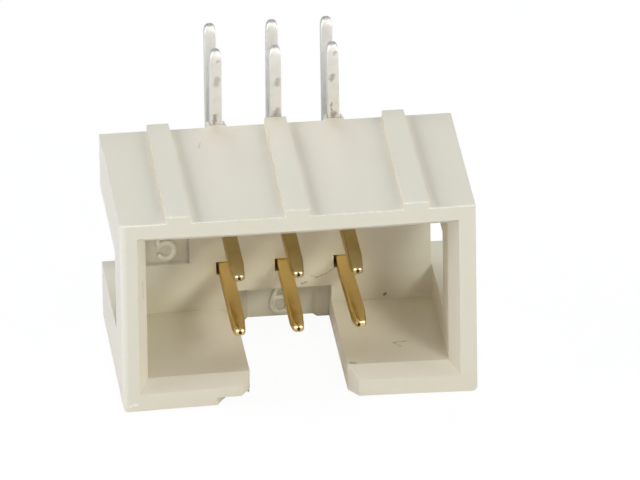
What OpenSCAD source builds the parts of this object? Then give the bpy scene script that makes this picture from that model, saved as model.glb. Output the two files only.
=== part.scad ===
// Right-angle shrouded box header, two rows of square contacts on a 2.54 mm grid.
// Seen as it lies on its keyed face: mouth towards -Y, solder tails up along +Z.
// Every profile below is drawn with Y counted back from the mouth, and Z up from the keyed face.

/* [Housing] */
// Width across the two end walls
housing_w = 15.2; // [14.8:0.1:16.4]
// Height from the keyed face to the board-side face
housing_h = 8.86; // [8.6:0.02:9.6]
// Depth from the mouth to the rear edge
housing_d = 9.03; // [8.8:0.01:10]
// Thickness of the end walls
end_wall = 1.14; // [1:0.02:1.4]
// Thickness of the keyed long wall
key_wall = 1.2; // [1:0.02:1.4]
// Thickness of the board-side long wall
board_wall = 1.06; // [1:0.02:1.4]
// Depth of the cavity from the mouth to the back wall
cavity_d = 6.83; // [6.4:0.01:7]
// Radius of the two outer edges along the keyed face
key_edge_r = 0.25; // [0.1:0.05:0.5]

/* [Mouth] */
// Width of the sloped lead-in round the mouth and its notch
lead_in_w = 0.42; // [0.2:0.01:0.5]
// Depth of the sloped lead-in
lead_in_d = 0.7; // [0.4:0.05:1.2]

/* [End slots] */
// Depth of the post left in front of each end slot
post_d = 2.6; // [2:0.05:3.2]
// Height of the lower edge of the slot
slot_bottom = 2.75; // [2.4:0.05:3.2]
// Height of the slot
slot_h = 3.65; // [3.2:0.05:4]
// Extra cut of the slot past the inside face of the end wall
slot_undercut = 0.04; // [0.02:0.02:0.2]

/* [Key notch] */
// Width of the polarising notch
notch_w = 4.2; // [3.6:0.1:4.6]
// Depth of the notch into the back wall
key_recess_d = 1.17; // [0.8:0.01:1.3]
// Height of the notch in the back wall
key_recess_h = 2.04; // [1.8:0.02:2.3]
// Width of the deeper panel in the middle of that recess
panel_w = 2.82; // [2.4:0.02:3.2]
// Extra depth of the panel
panel_d = 0.28; // [0.1:0.02:0.3]
// Slope of the panel's side walls, measured sideways
panel_slope = 0.17; // [0.02:0.01:0.2]

/* [Board side] */
// Number of stand-off ribs
rib_count = 3; // [2:1:3]
// Distance between stand-off ribs
rib_pitch = 5.08; // [4:0.02:5.2]
// Rib width at the mouth
rib_w_front = 1.08; // [0.8:0.02:1.3]
// Rib width at the rear
rib_w_rear = 0.94; // [0.7:0.02:1.2]
// Rib height above the board-side face
rib_h = 0.31; // [0.2:0.01:0.5]

/* [Marks and pockets] */
// Base of the triangular mark at the first contact
mark_w = 2.06; // [1.6:0.02:2.4]
// Length of the triangular mark
mark_l = 1.8; // [1.2:0.05:2.4]
// Depth of the triangular mark
mark_d = 0.35; // [0.2:0.01:0.4]
// Side of the square pocket in the back wall that holds a cavity number
number_pocket = 1.9; // [1.6:0.05:2.2]
// Distance of that pocket's centre from the middle of the cavity
number_x = 4.95; // [4.6:0.05:5.2]
// Depth of the number pocket
number_d = 0.25; // [0.1:0.01:0.4]

/* [Contacts] */
// Distance between neighbouring contacts, along a row and between the rows
pitch = 2.54; // [2.4:0.01:2.6]
// Distance of the rows' middle below the middle of the cavity
row_drop = 0.07; // [0:0.01:0.12]
// Side of the square wire at the mating end
wire = 0.58; // [0.5:0.01:0.62]
// Distance of the mating tips behind the mouth
tip_setback = 0.68; // [0.4:0.02:1.2]
// Length of the slim taper at a mating tip
tip_taper = 1; // [0.6:0.05:1.6]
// Width of a mating tip
tip_w = 0.48; // [0.36:0.01:0.5]
// Height of a mating tip
tip_h = 0.38; // [0.3:0.01:0.5]
// Length of the blunt chamfer at each end of a contact
end_chamfer = 0.08; // [0.04:0.01:0.12]
// Bend radius at the centre line of the wire
bend_r = 0.8; // [0.6:0.05:1]
// Side of the square solder tails
tail_w = 0.5; // [0.44:0.01:0.5]
// Length over which a tail narrows above its bend
tail_shoulder = 0.3; // [0.1:0.05:0.6]
// Length of the solder tails past the tops of the ribs
tail_l = 3.17; // [2.4:0.05:4]
// Width of a tail's tip
tail_tip_w = 0.36; // [0.28:0.01:0.44]
// Length of the taper at the end of a tail
tail_taper = 0.35; // [0.2:0.05:0.8]

/* [Fits] */
// Gap between the rear edge and the nearer row of tails
tail_gap = 0.21; // [0.1:0.01:0.4]
// Clearance between a contact and each side of its hole
hole_side_gap = 0.04; // [0.03:0.01:0.1]
// Clearance between a contact and the top of its hole
hole_top_gap = 0.02; // [0.01:0.01:0.08]
// Clearance between a tail and its guide
guide_gap = 0.04; // [0.02:0.01:0.06]

/* [Rear] */
// Width of a tail guide where it leaves the rear edge
guide_w = 0.92; // [0.84:0.02:1.2]
// Width of a tail guide at its end
guide_end_w = 0.76; // [0.72:0.02:1.1]
// Reach of the tail guides behind the rear edge
guide_l = 0.57; // [0.4:0.01:0.8]
// Depth of the relief behind the contact holes
rear_relief_d = 0.73; // [0.6:0.01:0.9]
// Margin of that relief round the outer contacts
rear_relief_margin = 0.9; // [0.7:0.05:1.2]

/* [Hidden] */
$fn = 48;
columns = 3; // contacts in each row, two rows

housing_colour = "#d9d4c6";
contact_colour = "#c9a558";
eps = 0.2; // how far a cut runs past an open face

contact_shift = hole_side_gap; // the contacts lie against one side of their holes
inner_half_w = housing_w / 2 - end_wall;
cavity_top = housing_h - board_wall;
row_middle = (key_wall + cavity_top) / 2 - row_drop;
rib_top = housing_h + rib_h;
slot_top = slot_bottom + slot_h;

near_tail_y = housing_d + tail_gap + tail_w / 2;
tail_tip_z = rib_top + tail_l;
overall_d = near_tail_y + pitch + wire / 2;

function column_x(c) = (c - (columns - 1) / 2) * pitch;
function row_z(r) = row_middle + (r - 0.5) * pitch;
function tail_length(r) = tail_tip_z - row_z(r) - bend_r;

// The origin is under the middle of the whole part.
module placed() {
    translate([0, -overall_d / 2, 0])
        children();
}

// Extrude an X-Z profile back from the mouth, from y0 to y1.
module along_y(y0, y1) {
    translate([0, y1, 0])
        rotate([90, 0, 0])
            linear_extrude(y1 - y0)
                children();
}

// Extrude a Y-Z profile across the width, from x0 to x1.
module along_x(x0, x1) {
    translate([x0, 0, 0])
        rotate([90, 0, 90])
            linear_extrude(x1 - x0)
                children();
}

// Extrude an X-Y profile upwards, from z0 to z1.
module along_z(z0, z1) {
    translate([0, 0, z0])
        linear_extrude(z1 - z0)
            children();
}

// Rectangle given by two opposite corners.
module rect(a, b) {
    translate(a)
        square(b - a);
}

// Outer block: a rectangle with its two lower edges rounded.
module block() {
    along_y(0, housing_d) {
        rect([-housing_w / 2, key_edge_r], [housing_w / 2, housing_h]);
        rect([-housing_w / 2 + key_edge_r, 0], [housing_w / 2 - key_edge_r, housing_h]);
        for (s = [-1, 1])
            translate([s * (housing_w / 2 - key_edge_r), key_edge_r])
                circle(key_edge_r);
    }
}

// Cavity with the sloped lead-in: two crossed trapezoids give all four slopes.
module cavity() {
    along_y(lead_in_d / 2, cavity_d)
        rect([-inner_half_w, key_wall], [inner_half_w, cavity_top]);
    intersection() {
        along_z(0, housing_h)
            lead_in_profile(-inner_half_w, inner_half_w);
        along_x(-housing_w / 2, housing_w / 2)
            mirror([1, -1])
                lead_in_profile(key_wall, cavity_top);
    }
}

// One trapezoid of the lead-in, narrowing from the mouth to the walls at lo and hi.
module lead_in_profile(lo, hi) {
    out = lead_in_w * (1 + eps / lead_in_d);
    polygon([[lo - out, -eps], [hi + out, -eps], [hi, lead_in_d], [lo, lead_in_d]]);
}

// Slots through both end walls, open at the rear.
module end_slots() {
    for (s = [0, 1])
        mirror([s, 0, 0])
            along_x(inner_half_w - slot_undercut, housing_w / 2 + eps)
                rect([post_d, slot_bottom], [housing_d + eps, slot_top]);
}

// Polarising notch through the keyed wall, its sides sloped at the mouth, ending in the back wall.
module key_notch() {
    panel_y = cavity_d + key_recess_d;
    along_y(-eps, panel_y)
        rect([-notch_w / 2, -eps], [notch_w / 2, key_recess_h]);
    along_z(-eps, key_recess_h) {
        lead_in_profile(-notch_w / 2, notch_w / 2);
        polygon([
            [-panel_w / 2 - panel_slope, panel_y - eps],
            [-panel_w / 2 - panel_slope, panel_y],
            [-panel_w / 2, panel_y + panel_d],
            [panel_w / 2, panel_y + panel_d],
            [panel_w / 2 + panel_slope, panel_y],
            [panel_w / 2 + panel_slope, panel_y - eps]
        ]);
    }
}

// Square holes for the contacts, right through the back wall.
module contact_holes() {
    half_w = wire / 2 + hole_side_gap;
    along_y(cavity_d - eps, housing_d + eps)
        for (c = [0 : columns - 1], r = [0, 1])
            translate([column_x(c), row_z(r)])
                rect([-half_w, -wire / 2], [half_w, wire / 2 + hole_top_gap]);
}

// Square pocket for a cavity number, on the back wall beside the contacts.
module number_recess() {
    along_y(cavity_d - eps, cavity_d + number_d)
        translate([-number_x, row_middle])
            square(number_pocket, center = true);
}

// Triangular mark at the first contact, cut in the keyed face with its base on the mouth.
module first_contact_mark() {
    along_z(-eps, mark_d)
        translate([column_x(0), 0])
            polygon([
                [-mark_w / 2, -eps],
                [-mark_w / 2, 0],
                [0, mark_l],
                [mark_w / 2, 0],
                [mark_w / 2, -eps]
            ]);
}

// Relief behind the contact holes, which leaves room for the bends under the board-side wall.
module rear_relief() {
    half_w = column_x(columns - 1) + wire / 2 + rear_relief_margin;
    along_y(housing_d - rear_relief_d, housing_d + eps)
        rect([-half_w, row_z(0) - wire / 2 - rear_relief_margin / 2], [half_w, cavity_top]);
}

// Stand-off ribs on the board-side face, a little slimmer at the rear.
module ribs() {
    along_z(housing_h - rib_h, rib_top)
        for (i = [0 : rib_count - 1])
            translate([(i - (rib_count - 1) / 2) * rib_pitch, 0])
                polygon([
                    [-rib_w_front / 2, 0],
                    [rib_w_front / 2, 0],
                    [rib_w_rear / 2, housing_d],
                    [-rib_w_rear / 2, housing_d]
                ]);
}

// Tapered tabs behind the rear edge, each notched for one tail of the nearer row.
module tail_guides() {
    notch_half_w = tail_w / 2 + guide_gap;
    along_z(cavity_top, housing_h)
        for (c = [0 : columns - 1])
            translate([column_x(c), housing_d])
                difference() {
                    polygon([
                        [-guide_w / 2, -rear_relief_d / 2],
                        [-guide_w / 2, 0],
                        [-guide_end_w / 2, guide_l],
                        [guide_end_w / 2, guide_l],
                        [guide_w / 2, 0],
                        [guide_w / 2, -rear_relief_d / 2]
                    ]);
                    translate([contact_shift, 0])
                        rect([-notch_half_w, tail_gap - guide_gap], [notch_half_w, guide_l + eps]);
                }
}

module housing() {
    color(housing_colour)
        placed()
            difference() {
                union() {
                    block();
                    ribs();
                    tail_guides();
                }
                cavity();
                end_slots();
                key_notch();
                contact_holes();
                number_recess();
                first_contact_mark();
                rear_relief();
            }
}

// Half outline along a bar: blunt tip, taper, bar, and a shoulder where the bar is slimmer than the wire.
function half_outline(length, taper, tip, bar) = concat(
    [[0, tip / 2 - end_chamfer], [end_chamfer, tip / 2], [taper, bar / 2]],
    bar < wire ? [[length - tail_shoulder, bar / 2]] : [],
    [[length, wire / 2]]
);

// The same outline closed by its mirror image.
function full_outline(half) = concat(half, [for (i = [len(half) - 1 : -1 : 0]) [half[i][0], -half[i][1]]]);

// Straight square bar along +Y whose first end tapers to a blunt tip at Y = 0.
module pointed_bar(length, taper, width, height, bar) {
    intersection() {
        along_x(-wire / 2, wire / 2)
            polygon(full_outline(half_outline(length, taper, height, bar)));
        along_z(-wire / 2, wire / 2)
            mirror([1, -1])
                polygon(full_outline(half_outline(length, taper, width, bar)));
    }
}

// Quarter bend from +Y up to +Z, starting at the origin.
module quarter_bend() {
    translate([0, 0, bend_r])
        rotate([90, 0, 90])
            rotate([0, 0, -90])
                rotate_extrude(angle = 90)
                    translate([bend_r, 0])
                        square(wire, center = true);
}

// One bent contact: mating pin, bend and solder tail. Row 0 is the keyed row, with the longer reach.
module contact(number) {
    c = floor((number - 1) / 2);
    r = (number - 1) % 2;
    tail_y = near_tail_y + (1 - r) * pitch;
    bend_y = tail_y - bend_r;
    color(contact_colour)
        placed()
            translate([column_x(c) + contact_shift, 0, 0]) {
                translate([0, tip_setback, row_z(r)])
                    pointed_bar(bend_y - tip_setback, tip_taper, tip_w, tip_h, wire);
                translate([0, bend_y, row_z(r)])
                    quarter_bend();
                translate([0, tail_y, tail_tip_z])
                    rotate([-90, 0, 0])
                        pointed_bar(tail_length(r), tail_taper, tail_tip_w, tail_tip_w, tail_w);
            }
}

housing();
for (number = [1 : 2 * columns])
    contact(number);
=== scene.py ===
import math

import bmesh
import bpy
import numpy as np
from mathutils import Matrix, Vector


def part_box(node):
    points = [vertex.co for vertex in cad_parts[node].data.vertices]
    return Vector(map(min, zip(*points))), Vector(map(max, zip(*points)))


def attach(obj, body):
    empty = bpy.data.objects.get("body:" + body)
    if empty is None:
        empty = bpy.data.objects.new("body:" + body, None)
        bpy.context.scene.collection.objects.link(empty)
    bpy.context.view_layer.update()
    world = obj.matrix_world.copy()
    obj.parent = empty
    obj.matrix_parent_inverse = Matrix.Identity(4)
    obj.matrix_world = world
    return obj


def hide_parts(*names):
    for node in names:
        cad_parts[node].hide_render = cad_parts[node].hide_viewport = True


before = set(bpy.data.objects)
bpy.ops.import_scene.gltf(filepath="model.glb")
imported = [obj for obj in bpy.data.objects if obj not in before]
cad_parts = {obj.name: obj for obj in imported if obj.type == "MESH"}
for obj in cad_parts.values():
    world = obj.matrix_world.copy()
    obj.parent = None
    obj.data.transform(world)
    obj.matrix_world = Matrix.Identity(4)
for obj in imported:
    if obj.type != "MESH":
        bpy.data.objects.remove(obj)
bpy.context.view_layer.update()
mm = 0.001  # one millimetre in scene units
scene = bpy.context.scene
# Places on the housing in mm. Its front is the mouth, and depths are counted back from there.
housingLow, housingHigh = [np.array(c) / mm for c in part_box("housing")]
mouthY = housingLow[1]
backWall = mouthY + 6.83  # the inner end of the mating cavity
boardFace = 8.86  # height of the face that the ribs stand on
ribTop = housingHigh[2]
print("frame loaded")


def linear(hexColour):  # sRGB hex to linear RGBA
    parts = [int(hexColour[i:i + 2], 16) / 255 for i in (1, 3, 5)]
    return [c / 12.92 if c <= 0.04045 else ((c + 0.055) / 1.055) ** 2.4 for c in parts] + [1.0]


def addNode(tree, kind, sockets=None, **settings):  # one node, its settings, and its inputs set or linked
    node = tree.nodes.new(kind)
    for name, value in settings.items():
        setattr(node, name, value)
    for key, value in (sockets or {}).items():
        if isinstance(value, bpy.types.NodeSocket):
            tree.links.new(value, node.inputs[key])
        else:
            node.inputs[key].default_value = value
    return node


def perMm(size):  # texture scale for a pattern of that size in mm
    return 1 / (size * mm)


def newMaterial(name):
    material = bpy.data.materials.new(name)
    material.use_nodes = True
    material.node_tree.nodes.clear()
    return material, material.node_tree


def showPiece(name, mesh):  # a smooth mesh as an object that rides on the part
    mesh.polygons.foreach_set("use_smooth", np.ones(len(mesh.polygons), bool))
    mesh.update()
    piece = bpy.data.objects.new(name, mesh)
    scene.collection.objects.link(piece)
    piece.modifiers.new("shading", "WEIGHTED_NORMAL").keep_sharp = True
    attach(piece, "root")
    return piece


def addPiece(name, points, faces, materials):  # a piece from its points in mm and its faces
    mesh = bpy.data.meshes.new(name)
    mesh.from_pydata((np.asarray(points) * mm).tolist(), [], faces)
    for material in materials:
        mesh.materials.append(material)
    return showPiece(name, mesh)


def ringFaces(rows, count):
    # Quads between neighbouring rings of a closed section carried along a path, then a cap at each end.
    row, step = np.meshgrid(np.arange(rows - 1), np.arange(count), indexing="ij")
    after = (step + 1) % count
    corners = [row * count + step, (row + 1) * count + step, (row + 1) * count + after, row * count + after]
    caps = [list(range(count)), list(range(rows * count - 1, (rows - 1) * count - 1, -1))]
    return np.stack(corners, 2).reshape(-1, 4).tolist() + caps


markCore = 0.2  # share of a mark's width that has its full strength


def newMark(start, stop, width, tint, strength):  # a short stroke of another tint between two places in mm
    return {"start": start, "stop": stop, "width": width, "tint": tint, "strength": strength}


def strokeMask(tree, place, mark):
    # Full on the straight line between the mark's two places, and fading to none at its width away from it.
    start = np.array(mark["start"]) * mm
    along = np.array(mark["stop"]) * mm - start
    away = addNode(tree, "ShaderNodeVectorMath", {0: place, 1: start}, operation="SUBTRACT").outputs[0]
    share = addNode(tree, "ShaderNodeVectorMath", {0: away, 1: along / (along @ along)},
                    operation="DOT_PRODUCT")
    held = addNode(tree, "ShaderNodeClamp", {0: share.outputs["Value"]})
    foot = addNode(tree, "ShaderNodeVectorMath", {0: along, "Scale": held.outputs[0]}, operation="SCALE")
    gap = addNode(tree, "ShaderNodeVectorMath", {0: away, 1: foot.outputs[0]}, operation="DISTANCE")
    width = mark["width"] * mm
    faded = addNode(tree, "ShaderNodeMapRange",
                    {0: gap.outputs["Value"], 1: markCore * width, 2: width, 3: mark["strength"], 4: 0.0},
                    interpolation_type="SMOOTHSTEP")
    return faded.outputs[0]


def markColour(tree, place, colour, marks, look):
    # Each mark's tint laid over a colour. A fine noise shifts the place first, which makes uneven edges.
    noise = addNode(tree, "ShaderNodeTexNoise",
                    {"Vector": place, "Scale": perMm(look["straySize"]), "Detail": 2.0})
    centred = addNode(tree, "ShaderNodeVectorMath", {0: noise.outputs["Color"], 1: (0.5, 0.5, 0.5)},
                      operation="SUBTRACT")
    shift = addNode(tree, "ShaderNodeVectorMath", {0: centred.outputs[0], "Scale": look["strayReach"] * mm},
                    operation="SCALE")
    uneven = addNode(tree, "ShaderNodeVectorMath", {0: place, 1: shift.outputs[0]}, operation="ADD")
    for mark in marks:
        mask = strokeMask(tree, uneven.outputs[0], mark)
        tint = linear(mark["tint"])
        colour = addNode(tree, "ShaderNodeMix", {0: mask, 6: colour, 7: tint}, data_type="RGBA").outputs[2]
    return colour


# Glass-filled polyester, injection moulded: warm light grey, satin, with a faint cloudiness and a fine grain
# from the mould. The grain is drawn coarser than the real one, so that it shows.
plasticLook = {"base": "#dcd4be", "cloud": "#dad2bb", "cloudSize": 2.2, "grainSize": 0.09,
               "grainDepth": 0.003, "roughness": 0.36, "sheen": 0.45, "straySize": 0.12, "strayReach": 0.12}
raisedPaintedLight = {"base": "#ebe5d0", "cloud": "#e9e3ce"}  # painted light: the raised numbers get a paler copy of the plastic, for the light they catch
hairWidth, hairTint = 0.045, "#6c6550"
plasticMarksAndPaintedShade = [
    # A hair, a scuff and a speck on the back wall, and painted shade along the right side of the number
    # pocket there.
    newMark((1.25, backWall, 2.56), (1.45, backWall, 2.45), hairWidth, hairTint, 0.35),
    newMark((1.45, backWall, 2.45), (1.84, backWall, 2.59), hairWidth, hairTint, 0.5),
    newMark((1.84, backWall, 2.59), (2.2, backWall, 2.84), hairWidth, hairTint, 0.4),
    newMark((0.8, backWall, 2.19), (1.02, backWall, 2.25), 0.07, "#7a7258", 0.6),
    newMark((4.38, backWall, 1.43), (4.43, backWall, 1.47), 0.1, "#453d2b", 0.85),
    # painted shade: the dark band down the number pocket's right side
    newMark((-4.04, backWall + 0.16, 3.5), (-4.04, backWall + 0.16, 4.9), 0.16, "#6e6448", 0.5),
    # A speck and a bent scratch on the floor of the cavity, and a scuff on the lead-in's left side.
    newMark((2.27, mouthY + 0.86, 1.28), (2.43, mouthY + 0.8, 1.28), 0.12, "#8a7f58", 0.7),
    newMark((4.29, mouthY + 2.6, 1.23), (4.88, mouthY + 2.7, 1.23), 0.06, "#746a50", 0.5),
    newMark((4.29, mouthY + 2.6, 1.23), (4.55, mouthY + 2.2, 1.23), 0.06, "#746a50", 0.4),
    newMark((-6.6, mouthY + 0.45, 5.2), (-6.63, mouthY + 0.4, 5.95), 0.11, "#a9a49c", 0.35),
    # A scuff on the board-side face, and two nicks at the lower left corner of the front.
    newMark((-3.5, mouthY + 7.08, boardFace), (-3.4, mouthY + 7.55, boardFace), 0.07, "#b9b7bb", 0.7),
    newMark((-7.3, mouthY, 0.26), (-7.26, mouthY, 0.27), 0.1, "#f4f2ea", 0.5),
    newMark((-7.14, mouthY, 0.34), (-7.04, mouthY, 0.33), 0.1, "#f4f2ea", 0.5),
]
# Painted highlights: pale uneven lines where the edges catch the light: on the ribs' ends, from rib to rib
# along the front edge, and broad and faint down the left edge.
edgeHighlightLook = {"tint": "#fff8e8", "strength": 0.55, "ribs": (-5.08, 0, 5.08), "ribHalf": 0.5, "ribWidth": 0.08,
            "stretches": ((-7.5, -5.65), (-4.5, -0.57), (0.57, 4.5), (5.65, 7.5)), "edgeWidth": 0.09,
            "sideTint": "#fffdf2", "sideStrength": 0.3, "side": (0.3, 8.8), "sideWidth": 0.32}


def paintedEdgeHighlights():
    look = edgeHighlightLook
    ends = [(x - look["ribHalf"], x + look["ribHalf"], ribTop, look["ribWidth"]) for x in look["ribs"]]
    ends += [(start, stop, boardFace, look["edgeWidth"]) for start, stop in look["stretches"]]
    marks = [newMark((start, mouthY, height), (stop, mouthY, height), width, look["tint"], look["strength"])
             for start, stop, height, width in ends]
    foot, top = [(housingLow[0], mouthY, height) for height in look["side"]]
    return marks + [newMark(foot, top, look["sideWidth"], look["sideTint"], look["sideStrength"])]


def makePlastic(name, look, marks):
    material, tree = newMaterial(name)
    place = addNode(tree, "ShaderNodeTexCoord").outputs["Object"]
    cloud = addNode(tree, "ShaderNodeTexNoise",
                    {"Vector": place, "Scale": perMm(look["cloudSize"]), "Detail": 2.0})
    colour = addNode(tree, "ShaderNodeMix",
                     {0: cloud.outputs["Fac"], 6: linear(look["base"]), 7: linear(look["cloud"])},
                     data_type="RGBA").outputs[2]
    if marks:
        colour = markColour(tree, place, colour, marks, look)
    grain = addNode(tree, "ShaderNodeTexNoise",
                    {"Vector": place, "Scale": perMm(look["grainSize"]), "Detail": 3.0})
    bump = addNode(tree, "ShaderNodeBump",
                   {"Height": grain.outputs["Fac"], "Distance": look["grainDepth"] * mm, "Strength": 1.0})
    shader = addNode(tree, "ShaderNodeBsdfPrincipled",
                     {"Base Color": colour, "Roughness": look["roughness"], "Normal": bump.outputs[0],
                      "Specular IOR Level": look["sheen"]})
    addNode(tree, "ShaderNodeOutputMaterial", {"Surface": shader.outputs[0]})
    return material


# Gold flash over nickel on a drawn copper alloy wire: yellow, with faint lines along it from the drawing.
# The lines are coarser than real ones, so that they show. The row next to the board is painted a darker,
# duller yellow: painted shade for the dark walls it reflects.
goldLook = {"base": "#fde4a6", "paintedShade": "#d1c094", "paintedShadeFrom": 4.2, "paintedShadeTo": 4.8, "grazing": "#d8bd84",
            "roughness": 0.2, "streakAcross": 0.05, "streakAlong": 2.0, "streakDepth": 0.0012}


def makeGold():
    material, tree = newMaterial("goldFlash")
    look = goldLook
    place = addNode(tree, "ShaderNodeTexCoord").outputs["Object"]
    across, along = perMm(look["streakAcross"]), perMm(look["streakAlong"])
    stretched = addNode(tree, "ShaderNodeVectorMath", {0: place, 1: (across, along, across)},
                        operation="MULTIPLY")
    streak = addNode(tree, "ShaderNodeTexNoise",
                     {"Vector": stretched.outputs[0], "Scale": 1.0, "Detail": 2.0})
    bump = addNode(tree, "ShaderNodeBump",
                   {"Height": streak.outputs["Fac"], "Distance": look["streakDepth"] * mm, "Strength": 1.0})
    height = addNode(tree, "ShaderNodeSeparateXYZ", {0: place}).outputs["Z"]
    # painted shade: the gold turns darker over the heights of the row next to the board
    row = addNode(tree, "ShaderNodeMapRange",
                  {0: height, 1: look["paintedShadeFrom"] * mm, 2: look["paintedShadeTo"] * mm})
    colour = addNode(tree, "ShaderNodeMix",
                     {0: row.outputs[0], 6: linear(look["base"]), 7: linear(look["paintedShade"])},
                     data_type="RGBA").outputs[2]
    shader = addNode(tree, "ShaderNodeBsdfPrincipled",
                     {"Base Color": colour, "Metallic": 1.0, "Roughness": look["roughness"],
                      "Normal": bump.outputs[0], "Specular Tint": linear(look["grazing"])})
    addNode(tree, "ShaderNodeOutputMaterial", {"Surface": shader.outputs[0]})
    return material


# Tin plate, satin and almost white, with small handling smudges on the tails nearest the mouth, and painted
# shade at their feet where they leave the housing.
tinLook = {"base": "#dad8d3", "stain": "#d2d0c9", "metallic": 0.7, "roughness": 0.5, "stainSize": 0.4,
           "stainFrom": 0.45, "stainTo": 0.75, "straySize": 0.1, "strayReach": 0.16}
nearTail = mouthY + 9.24  # the front of those tails
tinSmudgesAndFootShade = [
    newMark((-2.42, nearTail, 11.84), (-2.38, nearTail, 11.88), 0.1, "#85857a", 0.5),
    newMark((-2.5, nearTail, 10.78), (-2.44, nearTail, 11.02), 0.2, "#868672", 0.45),
    # painted shade at the foot of the left tail
    newMark((-2.6, nearTail, 8.95), (-2.56, nearTail, 9.3), 0.12, "#5f5644", 0.6),
    newMark((0.12, nearTail, 10.6), (0.18, nearTail, 10.84), 0.16, "#84806e", 0.45),
    # painted shade at the foot of the middle tail
    newMark((0.06, nearTail, 9.22), (0.14, nearTail, 9.4), 0.15, "#777356", 0.5),
    newMark((2.49, nearTail, 10.7), (2.53, nearTail, 10.86), 0.17, "#76705f", 0.55),
    newMark((2.63, nearTail, 11.88), (2.67, nearTail, 11.98), 0.1, "#8d8586", 0.5),
    # painted shade at the foot of the right tail
    newMark((2.46, nearTail, 8.95), (2.47, nearTail, 9.6), 0.06, "#655b48", 0.6),
    newMark((2.54, nearTail, 8.95), (2.62, nearTail, 9.1), 0.15, "#665f46", 0.6),
]


def makeTin():
    material, tree = newMaterial("tinPlate")
    look = tinLook
    place = addNode(tree, "ShaderNodeTexCoord").outputs["Object"]
    stain = addNode(tree, "ShaderNodeTexNoise",
                    {"Vector": place, "Scale": perMm(look["stainSize"]), "Detail": 4.0})
    mask = addNode(tree, "ShaderNodeMapRange",
                   {0: stain.outputs["Fac"], 1: look["stainFrom"], 2: look["stainTo"]})
    colour = addNode(tree, "ShaderNodeMix",
                     {0: mask.outputs[0], 6: linear(look["base"]), 7: linear(look["stain"])},
                     data_type="RGBA").outputs[2]
    colour = markColour(tree, place, colour, tinSmudgesAndFootShade, look)
    shader = addNode(tree, "ShaderNodeBsdfPrincipled", {"Base Color": colour, "Metallic": look["metallic"],
                                                        "Roughness": look["roughness"]})
    addNode(tree, "ShaderNodeOutputMaterial", {"Surface": shader.outputs[0]})
    return material


# The wire's sheared ends, torn and dull: bare copper alloy on the mating end, made dark enough to serve also
# as a painted reflection of dark surroundings in the nose's middle, and tin smeared over it on the tail.
shearedPinAndDarkReflection = {"name": "shearedCopperAndPaintedReflection", "base": "#6b4a26", "torn": "#2e1f10", "tearSize": 0.06,
              "metallic": 1.0, "roughness": 0.6}
shearedTail = {"name": "shearedTinnedAlloy", "base": "#c4c2be", "torn": "#a09e9a", "tearSize": 0.06,
               "metallic": 0.3, "roughness": 0.6}


def makeSheared(look):
    material, tree = newMaterial(look["name"])
    place = addNode(tree, "ShaderNodeTexCoord").outputs["Object"]
    tear = addNode(tree, "ShaderNodeTexNoise",
                   {"Vector": place, "Scale": perMm(look["tearSize"]), "Detail": 3.0})
    colour = addNode(tree, "ShaderNodeMix",
                     {0: tear.outputs["Fac"], 6: linear(look["base"]), 7: linear(look["torn"])},
                     data_type="RGBA").outputs[2]
    shader = addNode(tree, "ShaderNodeBsdfPrincipled", {"Base Color": colour, "Metallic": look["metallic"],
                                                        "Roughness": look["roughness"]})
    addNode(tree, "ShaderNodeOutputMaterial", {"Surface": shader.outputs[0]})
    return material


# the housing's plastic, whose marks include painted shade and painted edge highlights
plastic = makePlastic("mouldedPolyester", plasticLook, plasticMarksAndPaintedShade + paintedEdgeHighlights())
# the raised numbers' plastic: a paler copy of the same plastic, as painted light
paintedLitPlastic = makePlastic("mouldedPolyesterPaintedLight", plasticLook | raisedPaintedLight, [])
wireFinishes = [makeGold(), makeTin(), makeSheared(shearedPinAndDarkReflection), makeSheared(shearedTail)]
print("materials made")


# The moulded box: the solid with its edges broken, and its long walls drawn in a little at the mouth. Cuts
# give those walls enough points to bow, and each cut across is made on both sides of the middle.
housingLook = {"outerEdge": 0.11, "ribEdge": 0.06, "ribFoot": 0.12, "innerEdge": 0.045, "fineEdge": 0.012,
               "segments": 3, "sharpAngle": 15, "flatAngle": 0.5, "mergeGap": 0.0005, "close": 0.02,
               "cutsAcross": (0.0, 0.9, 1.85, 3.2, 4.3, 5.1, 6.15, 7.2), "cutsBack": (1.6, 4.4),
               "cavityLow": 1.2, "cavityHigh": 7.8, "rear": 9.03,
               "outerBow": -0.04, "lipBow": -0.1, "keyBow": 0.12}


def bowed(co):
    # The board-side wall sags and the keyed wall rises: most at the middle of the mouth, by a parabola along
    # X, fading by the square of the depth left to the back wall.
    look = housingLook
    fade = np.clip((backWall - co[:, 1]) / (backWall - mouthY), 0, 1) ** 2
    along = 1 - (co[:, 0] / housingHigh[0]) ** 2
    heights = (look["cavityLow"], look["cavityHigh"], boardFace)
    bows = (look["keyBow"], look["lipBow"], look["outerBow"])
    out = co.copy()
    out[:, 2] += fade * along * np.interp(co[:, 2], heights, bows)
    return out


def edgeWidth(mid):
    # Full rounding where two outer faces meet, less on the ribs and inside, and fine at holes and pockets.
    look = housingLook
    x, y, z = mid
    close = look["close"]
    onBoardFace = abs(z - boardFace) < close
    onRibTop = abs(z - ribTop) < close
    onEnd = abs(abs(x) - housingHigh[0]) < close
    onMouth = abs(y - mouthY) < close
    onRear = abs(y - mouthY - look["rear"]) < close
    onKeyedFace = z < close
    if sum((onBoardFace, onRibTop, onEnd, onMouth, onRear, onKeyedFace)) >= 2:
        return look["outerEdge"]
    if y > backWall - close and look["cavityLow"] + close < z < boardFace + close:
        return look["fineEdge"]
    if onBoardFace:
        return look["ribFoot"]
    return look["ribEdge"] if onRibTop else look["innerEdge"]


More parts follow.
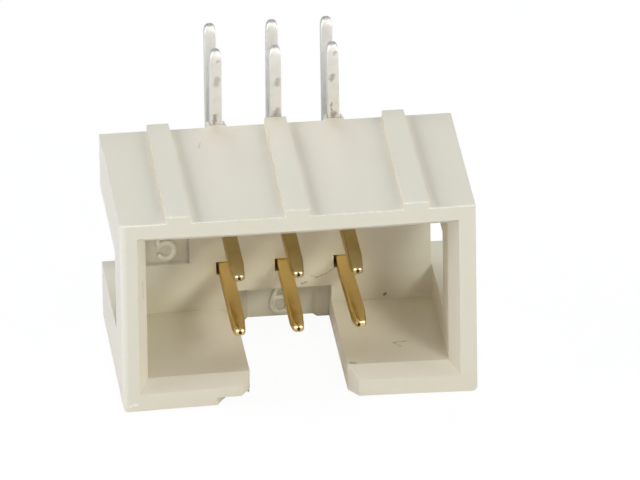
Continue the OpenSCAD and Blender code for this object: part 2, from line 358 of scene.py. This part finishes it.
def roundedMesh(mesh):  # break the edges of the housing's solid by their own widths
    look = housingLook
    shape = bmesh.new()
    shape.from_mesh(mesh)
    bmesh.ops.remove_doubles(shape, verts=shape.verts, dist=look["mergeGap"] * mm)
    flat = math.radians(look["flatAngle"])
    bmesh.ops.dissolve_limit(shape, angle_limit=flat, verts=shape.verts, edges=shape.edges)
    weights = shape.edges.layers.float.new("bevel_weight_edge")
    for edge in shape.edges:
        if len(edge.link_faces) == 2 and edge.calc_face_angle() > math.radians(look["sharpAngle"]):
            mid = np.array((edge.verts[0].co + edge.verts[1].co) / 2) / mm
            edge[weights] = edgeWidth(mid) / look["outerEdge"]
    shape.to_mesh(mesh)
    shape.free()
    blank = bpy.data.objects.new("blank", mesh)
    scene.collection.objects.link(blank)
    bevel = blank.modifiers.new("edges", "BEVEL")
    bevel.width = look["outerEdge"] * mm
    bevel.segments = look["segments"]
    bevel.limit_method = "WEIGHT"
    rounded = bpy.data.meshes.new_from_object(blank.evaluated_get(bpy.context.evaluated_depsgraph_get()))
    bpy.data.objects.remove(blank)
    return rounded


def makeHousing():
    look = housingLook
    mesh = roundedMesh(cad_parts["housing"].data.copy())
    mesh.name = "mouldedHousing"
    shape = bmesh.new()
    shape.from_mesh(mesh)
    acrossPlaces = sorted({side * x for x in look["cutsAcross"] for side in (-1, 1)})
    cuts = [((x * mm, 0, 0), (1, 0, 0)) for x in acrossPlaces]
    cuts += [((0, (mouthY + y) * mm, 0), (0, 1, 0)) for y in look["cutsBack"]]
    for place, normal in cuts:
        everything = shape.verts[:] + shape.edges[:] + shape.faces[:]
        bmesh.ops.bisect_plane(shape, geom=everything, dist=look["mergeGap"] * mm, plane_co=place,
                               plane_no=normal)
    shape.to_mesh(mesh)
    shape.free()
    co = np.zeros(len(mesh.vertices) * 3, np.float32)
    mesh.vertices.foreach_get("co", co)
    mesh.vertices.foreach_set("co", (bowed(co.reshape(-1, 3) / mm) * mm).astype(np.float32).ravel())
    mesh.materials.clear()
    mesh.materials.append(plastic)
    piece = showPiece("mouldedHousing", mesh)
    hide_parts("housing")


makeHousing()
print("housing made")


# Raised cavity numbers, each drawn in mm from its lower left corner on a wall of the housing. Turns are in
# degrees, anticlockwise from the right.
numberLook = {"stroke": 0.23, "height": 0.14, "sunk": 0.03, "spacing": 0.03, "sectionSteps": 14,
              "squareness": 0.6, "endStart": 0.02, "arcSteps": 40}
numberFive = {"at": (-5.46, mouthY + 7.08, 3.47), "barEnd": (0.82, 1.42), "stemFoot": (0.12, 0.8),
              "corner": (0.22, 1.32), "cornerSize": (0.1, 0.1), "cornerTurn": (90, 180),
              "bowl": (0.47, 0.615), "bowlSize": (0.36, 0.385), "bowlTurn": (135, -162)}
numberSix = {"at": (-0.49, mouthY + 8.28, 0.1),
             "stem": (0.8, 0.48), "stemSize": (0.66, 0.94), "stemTurn": (105, 180),
             "bowl": (0.49, 0.475), "bowlSize": (0.36, 0.365), "bowlTurn": (180, 535)}


def arc(look, part):  # points on an ellipse about a part's centre, from one turn to the other
    a = np.radians(np.linspace(*look[part + "Turn"], numberLook["arcSteps"]))
    return np.array(look[part]) + np.stack([np.cos(a), np.sin(a)], 1) * look[part + "Size"]


def makeNumber(name, look, path):
    # A flat-topped ridge carried along the number's centre line. The section's sideways and upward reach are
    # a cosine and a sine raised to a power below one, and each end is narrowed by a circle's chord.
    shape = numberLook
    steps = np.concatenate([[0], np.cumsum(np.hypot(*np.diff(path, axis=0).T))])
    run = np.linspace(0, steps[-1], int(steps[-1] / shape["spacing"]))
    line = np.stack([np.interp(run, steps, path[:, i]) for i in (0, 1)], 1)
    tangent = np.gradient(line, axis=0)
    tangent /= np.linalg.norm(tangent, axis=1, keepdims=True)
    half = shape["stroke"] / 2
    fromEnd = np.clip(np.minimum(run, run[-1] - run) / half, shape["endStart"], 1)
    chord = np.sqrt(1 - (1 - fromEnd) ** 2)
    a = np.linspace(0, np.pi, shape["sectionSteps"])
    side = np.sign(np.cos(a)) * np.abs(np.cos(a)) ** shape["squareness"]
    rise = np.sin(a) ** shape["squareness"] * (shape["height"] + shape["sunk"]) - shape["sunk"]
    across = (half * chord)[:, None] * side[None, :]
    x = look["at"][0] + line[:, :1] - tangent[:, 1:] * across
    z = look["at"][2] + line[:, 1:] + tangent[:, :1] * across
    y = np.broadcast_to(look["at"][1] - rise[None, :], x.shape)
    points = np.stack([x, y, z], 2).reshape(-1, 3)
    addPiece(name, points, ringFaces(len(run), len(a)), [paintedLitPlastic])


# The five is a top bar, a stem and an open bowl; the six is a long curve down into a closed bowl.
fivePath = [[numberFive["barEnd"]], arc(numberFive, "corner"),
            [numberFive["stemFoot"]], arc(numberFive, "bowl")]
sixPath = [arc(numberSix, "stem"), arc(numberSix, "bowl")]
makeNumber("raisedNumber5", numberFive, np.concatenate(fivePath))
makeNumber("raisedNumber6", numberSix, np.concatenate(sixPath))
print("numbers made")


# A contact: a square section with broken corners, carried along a straight pin, a quarter bend and a tail.
# Each nose lists distance from the end, half width, half height, corner radius and lift of its middle.
contactLook = {"bend": 0.8, "corner": 0.06, "tailCorner": 0.035, "cornerSteps": 5, "bendSteps": 14,
               "goldEnd": 7.4, "tailHalf": 0.25, "shoulder": 0.3, "pinRings": (2.0, 3.5, 5.0),
               "riseSteps": 5, "endLength": 0.05, "finishGap": 0.001,
               "matingNose": [(0.0, 0.065, 0.085, 0.05, 0.02), (0.006, 0.09, 0.1, 0.08, 0.02),
                              (0.02, 0.125, 0.118, 0.11, 0.015), (0.045, 0.162, 0.14, 0.135, 0.01),
                              (0.08, 0.195, 0.16, 0.15, 0.005), (0.12, 0.218, 0.174, 0.155, 0.0),
                              (0.17, 0.235, 0.185, 0.14, 0.0), (0.25, 0.246, 0.197, 0.1, 0.0),
                              (1.0, 0.29, 0.29, 0.06, 0.0)],
               "tailNose": [(0.0, 0.085, 0.085, 0.06, 0.0), (0.012, 0.118, 0.118, 0.08, 0.0),
                            (0.04, 0.155, 0.155, 0.1, 0.0), (0.1, 0.192, 0.192, 0.1, 0.0),
                            (0.2, 0.225, 0.225, 0.06, 0.0), (0.38, 0.25, 0.25, 0.035, 0.0)]}
# How far each real contact strays in mm: sideways and up at its mating tip, sideways at the back wall, at
# its tail's foot and at its tail's tip, and its sheared mating end, dark as painted reflection, sideways
# from the tip's middle.
contactStray = {"contact_1": (0.025, -0.04, 0.015, 0.0, 0.03, 0.0),
                "contact_2": (0.025, 0.0, 0.025, -0.05, 0.02, 0.0),
                "contact_3": (-0.005, -0.04, 0.015, 0.08, 0.18, 0.0),
                "contact_4": (0.025, 0.0, 0.025, 0.01, 0.04, 0.0),
                "contact_5": (0.135, 0.0, 0.01, -0.01, 0.0, -0.1),
                "contact_6": (0.025, 0.0, 0.025, -0.01, -0.02, 0.0)}


def roundedSquare(wide, high, corner, raised):
    # One ring per row: at each corner a quarter circle, about a point set in from both sides by its radius.
    steps = contactLook["cornerSteps"] + 1
    quarter = np.repeat(np.arange(4), steps)
    a = np.pi / 2 * (quarter + np.tile(np.linspace(0, 1, steps), 4))
    signs = np.array([(1, 1), (-1, 1), (-1, -1), (1, -1)])[quarter]
    across = signs[:, 0] * (wide - corner) + corner * np.cos(a)
    lift = signs[:, 1] * (high - corner) + corner * np.sin(a) + raised
    return across, lift


def makeContact(name):
    # Along the wire's centre line at length s: y grows by s up to the bend, then by the bend's sine; z rises
    # by one less the bend's cosine, then by the length left; the section turns with the bend.
    look = contactLook
    lo, hi = [np.array(c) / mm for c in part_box(name)]
    half = (hi[0] - lo[0]) / 2
    straight = hi[1] - half - look["bend"] - lo[1]
    bendEnd = straight + look["bend"] * np.pi / 2
    rowZ = lo[2] + half
    total = bendEnd + hi[2] - rowZ - look["bend"]
    mating, tail = np.array(look["matingNose"]), np.array(look["tailNose"])[::-1]
    goldEnd = look["goldEnd"] + mouthY - lo[1]
    tailStart = bendEnd + look["shoulder"]
    bend = np.linspace(straight, bendEnd, look["bendSteps"])[1:]
    rise = np.linspace(tailStart, total - tail[0, 0], look["riseSteps"])[:-1]
    s = np.concatenate([mating[:, 0], look["pinRings"], [goldEnd, straight], bend, rise, total - tail[:, 0]])
    knots = np.concatenate([mating[:, 0], [straight, bendEnd, tailStart], total - tail[:, 0]])
    between = [(half, half, look["tailHalf"]), (half, half, look["tailHalf"]),
               (look["corner"], look["corner"], look["tailCorner"]), (0, 0, 0)]
    section = [np.interp(s, knots, np.concatenate([mating[:, i + 1], values, tail[:, i + 1]]))[:, None]
               for i, values in enumerate(between)]
    across, lift = roundedSquare(*section)
    turn = np.clip((s - straight) / look["bend"], 0, np.pi / 2)
    tipX, tipZ, wallX, footX, topX, endX = contactStray[name]
    wall = backWall - lo[1]
    x = lo[0] + half + np.interp(s, (0, wall, straight, bendEnd, total), (tipX, wallX, 0, footX, topX))
    x += np.interp(s, (0, look["endLength"]), (endX, 0))
    y = lo[1] + np.minimum(s, straight) + look["bend"] * np.sin(turn)
    z = rowZ + look["bend"] * (1 - np.cos(turn)) + np.maximum(s - bendEnd, 0)
    z += np.interp(s, (0, wall), (tipZ, 0))
    sine, cosine = np.sin(turn)[:, None], np.cos(turn)[:, None]
    points = np.stack([x[:, None] + across, y[:, None] - lift * sine, z[:, None] + lift * cosine], 2)
    count = across.shape[1]
    piece = addPiece(name.replace("contact_", "bentContact"), points.reshape(-1, 3),
                     ringFaces(len(s), count), wireFinishes)
    finish = np.repeat(s[1:] > goldEnd + look["finishGap"], count)  # gold up to its end, then tin
    # the mating end's cap takes the dark sheared finish, which is also painted reflection; the tail's end
    # takes its own
    piece.data.polygons.foreach_set("material_index", np.concatenate([finish, [2, 3]]).astype(np.int32))
    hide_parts(name)


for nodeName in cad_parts:
    if nodeName.startswith("contact"):
        makeContact(nodeName)
print("contacts made")


# White sweep: matte paper that shows as white to the camera and keeps a faint shadow. The white walls light
# nothing: the camera sees them in full, and reflections see them dim and the paper a shade greyer.
stageLook = {"floorSize": 3.0, "below": 0.02, "paper": "#ffffff", "paperReflected": "#d4d4d4",
             "paperGlow": 0.94, "wallSeen": 1.0, "wallReflected": 0.12}


def makeFloor():
    look = stageLook
    material, tree = newMaterial("paperSweep")
    path = addNode(tree, "ShaderNodeLightPath").outputs
    direct = addNode(tree, "ShaderNodeMath", {0: path["Is Camera Ray"], 1: path["Is Transmission Ray"]},
                     operation="ADD")
    seen = addNode(tree, "ShaderNodeMath", {0: direct.outputs[0], 1: look["paperGlow"]},
                   operation="MULTIPLY")
    paper = addNode(tree, "ShaderNodeMix", {0: path["Is Glossy Ray"], 6: linear(look["paper"]),
                                            7: linear(look["paperReflected"])}, data_type="RGBA")
    matte = addNode(tree, "ShaderNodeBsdfDiffuse", {"Color": paper.outputs[2]})
    glow = addNode(tree, "ShaderNodeEmission", {"Color": linear(look["paper"]), "Strength": 1.0})
    mixed = addNode(tree, "ShaderNodeMixShader",
                    {0: seen.outputs[0], 1: matte.outputs[0], 2: glow.outputs[0]})
    addNode(tree, "ShaderNodeOutputMaterial", {"Surface": mixed.outputs[0]})
    half, level = look["floorSize"] / 2, -look["below"] * mm
    mesh = bpy.data.meshes.new("paperSweep")
    corners = [(-half, -half, level), (half, -half, level), (half, half, level), (-half, half, level)]
    mesh.from_pydata(corners, [], [(0, 1, 2, 3)])
    mesh.materials.append(material)
    floor = bpy.data.objects.new("paperSweep", mesh)
    scene.collection.objects.link(floor)


def makeWalls():
    look = stageLook
    world = bpy.data.worlds.new("whiteWalls")
    world.use_nodes = True
    tree = world.node_tree
    path = addNode(tree, "ShaderNodeLightPath").outputs
    direct = addNode(tree, "ShaderNodeMath", {0: path["Is Camera Ray"], 1: path["Is Transmission Ray"]},
                     operation="ADD")
    reflected = addNode(tree, "ShaderNodeMath", {0: path["Is Glossy Ray"], 1: look["wallReflected"]},
                        operation="MULTIPLY")
    strength = addNode(tree, "ShaderNodeMath", {0: direct.outputs[0], 1: look["wallSeen"],
                                                2: reflected.outputs[0]}, operation="MULTIPLY_ADD")
    background = tree.nodes["Background"]
    background.inputs["Color"].default_value = linear(look["paper"])
    tree.links.new(strength.outputs[0], background.inputs["Strength"])
    scene.world = world


# Each light: direction to it from the part (azimuth to the right of the mouth, and elevation), size in m,
# radiance, colour and the rays that see it. The boxes light matte colour, and the cards show in reflections.
lightAway = 0.6  # distance of every light from the part, in m
softBoxes = {
    "boxTop": {"from": (0, 75), "size": 0.3, "radiance": 1.35, "colour": "#ffe5e8", "rays": "matte"},
    "boxTopFront": {"from": (0, 45), "size": 0.3, "radiance": 2.04, "colour": "#e8eeff", "rays": "matte"},
    "boxBack": {"from": (180, 50), "size": 0.3, "radiance": 5.8, "colour": "#cee6ff", "rays": "matte"},
    "boxFrontLeft": {"from": (-38, 22), "size": 0.2, "radiance": 2.8, "colour": "#eaf7ff", "rays": "matte"},
    "boxKey": {"from": (29, 29), "size": 0.14, "radiance": 21.4, "colour": "#f7fffd", "rays": "matte"},
    "boxLeft": {"from": (-90, 25), "size": 0.3, "radiance": 10.0, "colour": "#f2f2ff", "rays": "matte"},
    "boxRight": {"from": (90, 25), "size": 0.3, "radiance": 5.7, "colour": "#fff7ff", "rays": "matte"},
    "cardLeft": {"from": (-58, 12), "size": 0.8, "radiance": 4.2, "colour": "#fffcf4", "rays": "glossy"},
    "cardRight": {"from": (50, 12), "size": 0.8, "radiance": 4.2, "colour": "#fffcf4", "rays": "glossy"},
}


def makeLights():
    for name, box in softBoxes.items():
        azimuth, elevation = [math.radians(a) for a in box["from"]]
        toward = Vector((math.sin(azimuth) * math.cos(elevation), -math.cos(azimuth) * math.cos(elevation),
                         math.sin(elevation)))
        light = bpy.data.lights.new(name, "AREA")
        light.size = box["size"]
        light.energy = box["radiance"] * math.pi * box["size"] ** 2  # a square emitter's power
        light.color = linear(box["colour"])[:3]
        lamp = bpy.data.objects.new(name, light)
        lamp.visible_glossy = box["rays"] == "glossy"
        lamp.visible_diffuse = box["rays"] == "matte"
        lamp.location = toward * lightAway
        lamp.rotation_mode = "QUATERNION"
        lamp.rotation_quaternion = toward.to_track_quat("Z", "Y")
        scene.collection.objects.link(lamp)


# The photo's camera, fitted to the part's corners: angles in degrees, scale in px per mm, image size and the
# pivot's place in it in px, distance, pivot (counted back from the mouth) and sensor in mm, clipping in m.
cameraLook = {"azimuth": -5.907, "elevation": 26.458, "roll": -0.878, "scale": 23.35, "image": (640, 480),
              "centre": (287.9, 260.827), "away": 658.17, "pivot": (0.0, 4.5, 4.5), "sensor": 36,
              "clip": (0.01, 10)}


def makeCamera():
    look = cameraLook
    a, e, r = [math.radians(look[k]) for k in ("azimuth", "elevation", "roll")]
    level = Vector((math.cos(a), math.sin(a), 0))
    back = Vector((math.sin(a) * math.cos(e), -math.cos(a) * math.cos(e), math.sin(e)))
    upright = back.cross(level)
    right = math.cos(r) * level + math.sin(r) * upright
    up = -math.sin(r) * level + math.cos(r) * upright
    width, height = look["image"]
    pivot = Vector(look["pivot"]) + Vector((0, mouthY, 0))
    spot = pivot + back * look["away"]
    spot += right * ((width / 2 - look["centre"][0]) / look["scale"])
    spot += up * ((look["centre"][1] - height / 2) / look["scale"])
    data = bpy.data.cameras.new("photoCamera")
    data.sensor_width = look["sensor"]
    data.lens = look["sensor"] * look["scale"] * look["away"] / width
    data.clip_start, data.clip_end = look["clip"]
    camera = bpy.data.objects.new("photoCamera", data)
    camera.matrix_world = Matrix.Translation(spot * mm) @ Matrix((right, up, back)).transposed().to_4x4()
    scene.collection.objects.link(camera)
    scene.camera = camera


makeFloor()
makeWalls()
makeLights()
makeCamera()
scene.view_settings.view_transform = "Standard"
print("stage, lights and camera made")
